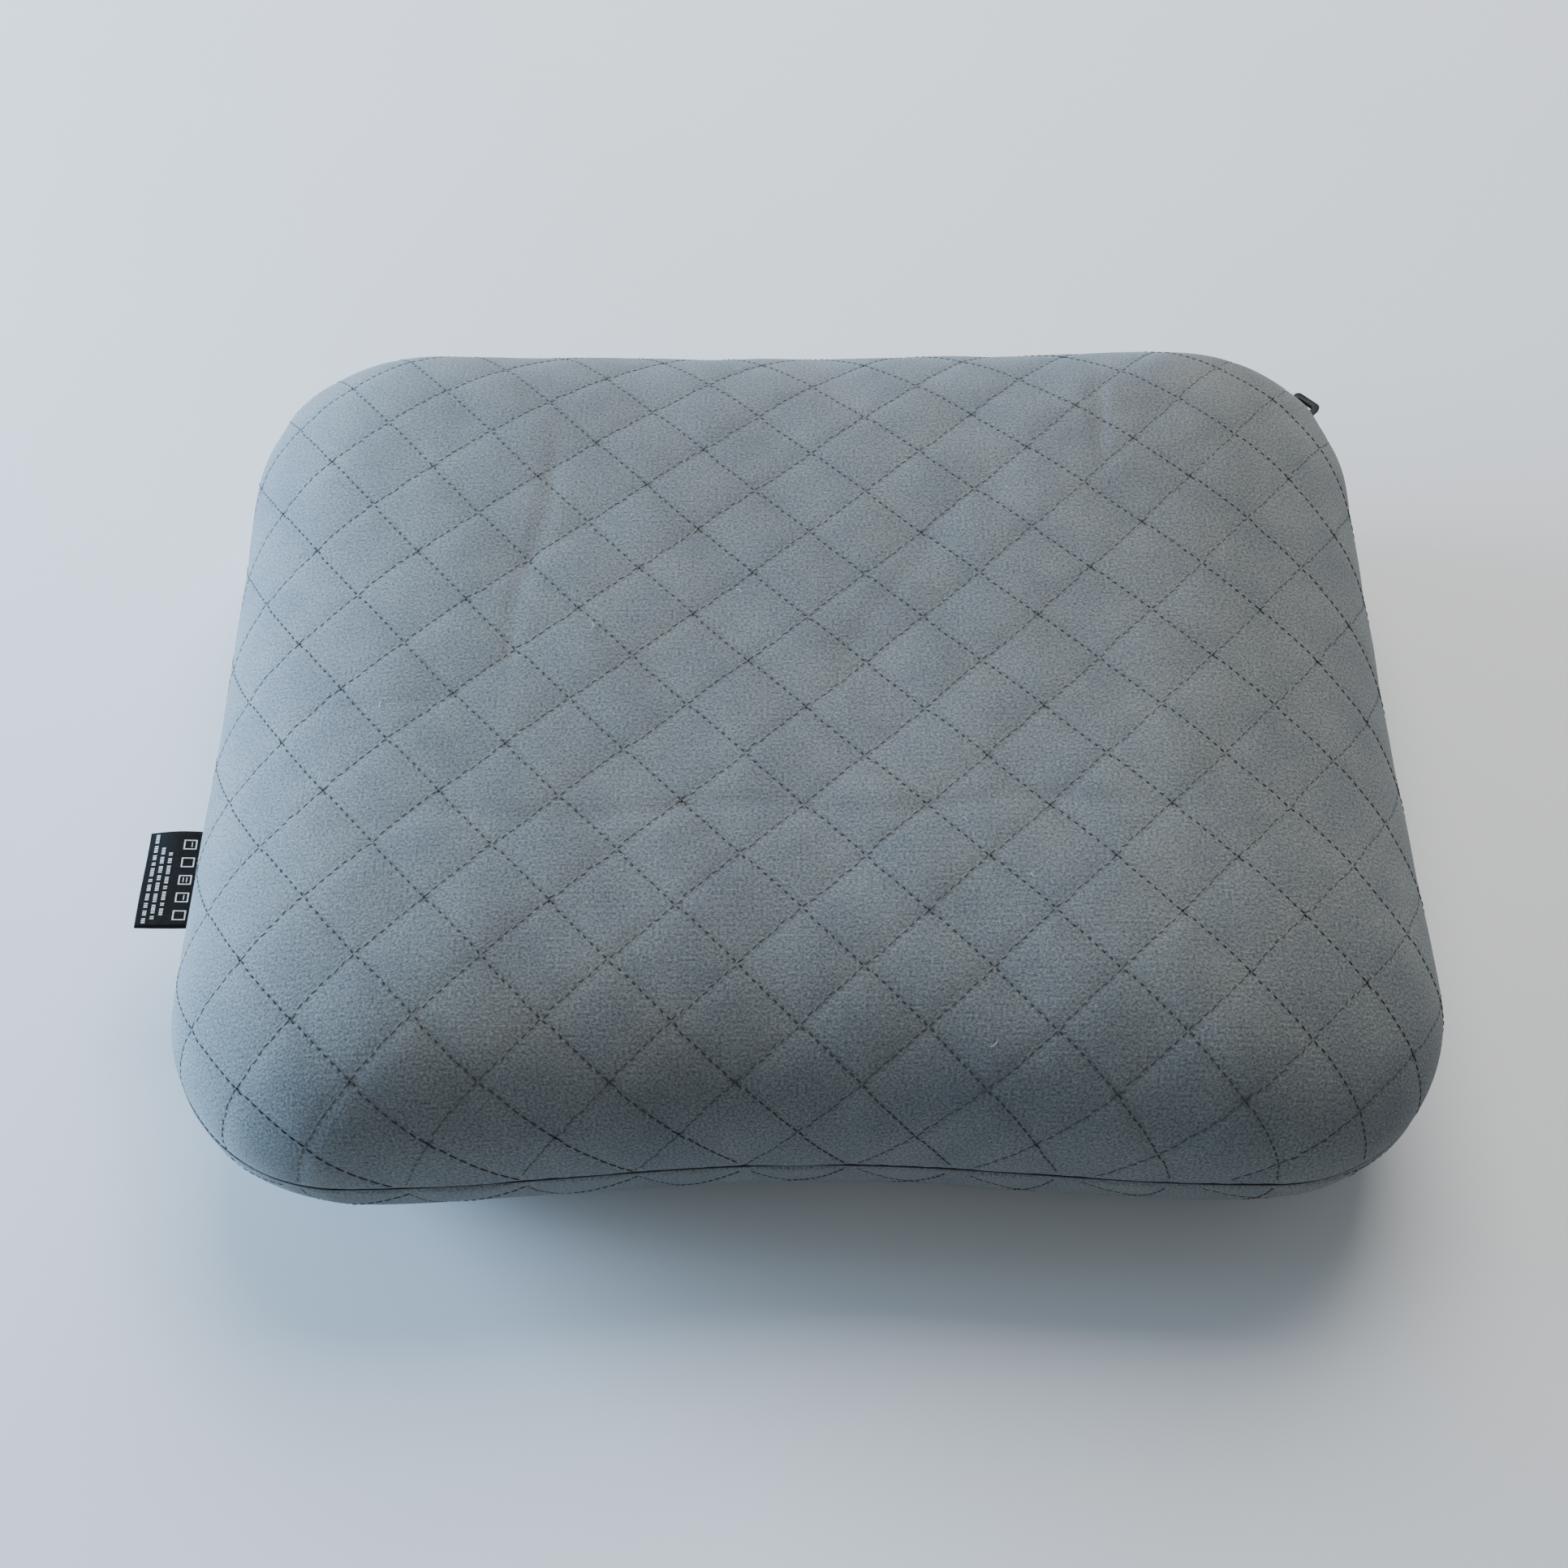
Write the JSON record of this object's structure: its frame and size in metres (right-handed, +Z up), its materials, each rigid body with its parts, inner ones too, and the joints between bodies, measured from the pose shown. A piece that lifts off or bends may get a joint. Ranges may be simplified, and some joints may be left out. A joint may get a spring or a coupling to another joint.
{
  "type": "camp pillow",
  "caption": "Inflatable camp pillow: rounded rectangle with a drawn-in front edge, diamond-quilted knit cover, corner zip pull and folded care label.",
  "frame": {"origin": "centre of the flat resting face on the underside", "axes": "+X towards the right end with the zip pull's corner, +Y towards the rear edge with the zip, +Z up through the crown"},
  "size_m": [0.4655, 0.358, 0.116],
  "materials": {
    "face_knit": "matte",
    "wadding": "matte",
    "lining": "satin",
    "binding": "matte",
    "label_ribbon": "satin",
    "zip_tape": "matte",
    "zip_coil": "satin",
    "slider_metal": "gloss",
    "pull_plastic": "gloss",
    "core_film": "satin",
    "valve_plastic": "satin",
    "silicone": "satin"
  },
  "bodies": {
    "pillow": {"cover_top": "face_knit", "cover_bottom": "face_knit", "wadding_top": "wadding", "wadding_bottom": "wadding", "lining_top": "lining", "lining_bottom": "lining", "seam_binding": "binding", "care_label": "label_ribbon", "zip_tape_upper": "zip_tape", "zip_tape_lower": "zip_tape", "zip_coil_upper": "zip_coil", "zip_coil_lower": "zip_coil", "zip_closed_stop": "zip_coil", "zip_open_stop": "zip_coil", "air_core_top": "core_film", "air_core_bottom": "core_film", "baffle_front": "core_film", "baffle_middle": "core_film", "baffle_rear": "core_film", "valve_body": "valve_plastic", "opening_ring": "binding"},
    "zip_slider": {"slider": "slider_metal"},
    "link": {"pull_link": "slider_metal"},
    "pull": {"pull_ring": "pull_plastic"},
    "large_cap": {"deflate_cap": "valve_plastic", "valve_flap": "silicone"},
    "small_cap": {"inflate_cap": "valve_plastic"}
  },
  "joints": [
    {"name": "slider_travel", "type": "hinge", "parent": "pillow", "child": "zip_slider", "pos_m": [0.157, 0.114, 0.054], "axis": [0, 0, 1], "range_deg": [0, 44]},
    {"name": "link_swing", "type": "hinge", "parent": "zip_slider", "child": "link", "pos_m": [0.20607, 0.16307, 0.054], "axis": [-0.7071, 0.7071, 0], "range_deg": [-60, 70]},
    {"name": "pull_swing", "type": "hinge", "parent": "link", "child": "pull", "pos_m": [0.20848, 0.16548, 0.054], "axis": [0, 0, 1], "range_deg": [-45, 45]},
    {"name": "large_cap_open", "type": "hinge", "parent": "pillow", "child": "large_cap", "pos_m": [-0.112, 0.1774, 0.0248], "axis": [1, 0, 0], "range_deg": [0, 90]},
    {"name": "small_cap_open", "type": "hinge", "parent": "large_cap", "child": "small_cap", "pos_m": [-0.112, 0.1767, 0.01956], "axis": [1, 0, 0], "range_deg": [0, 95]}
  ]
}
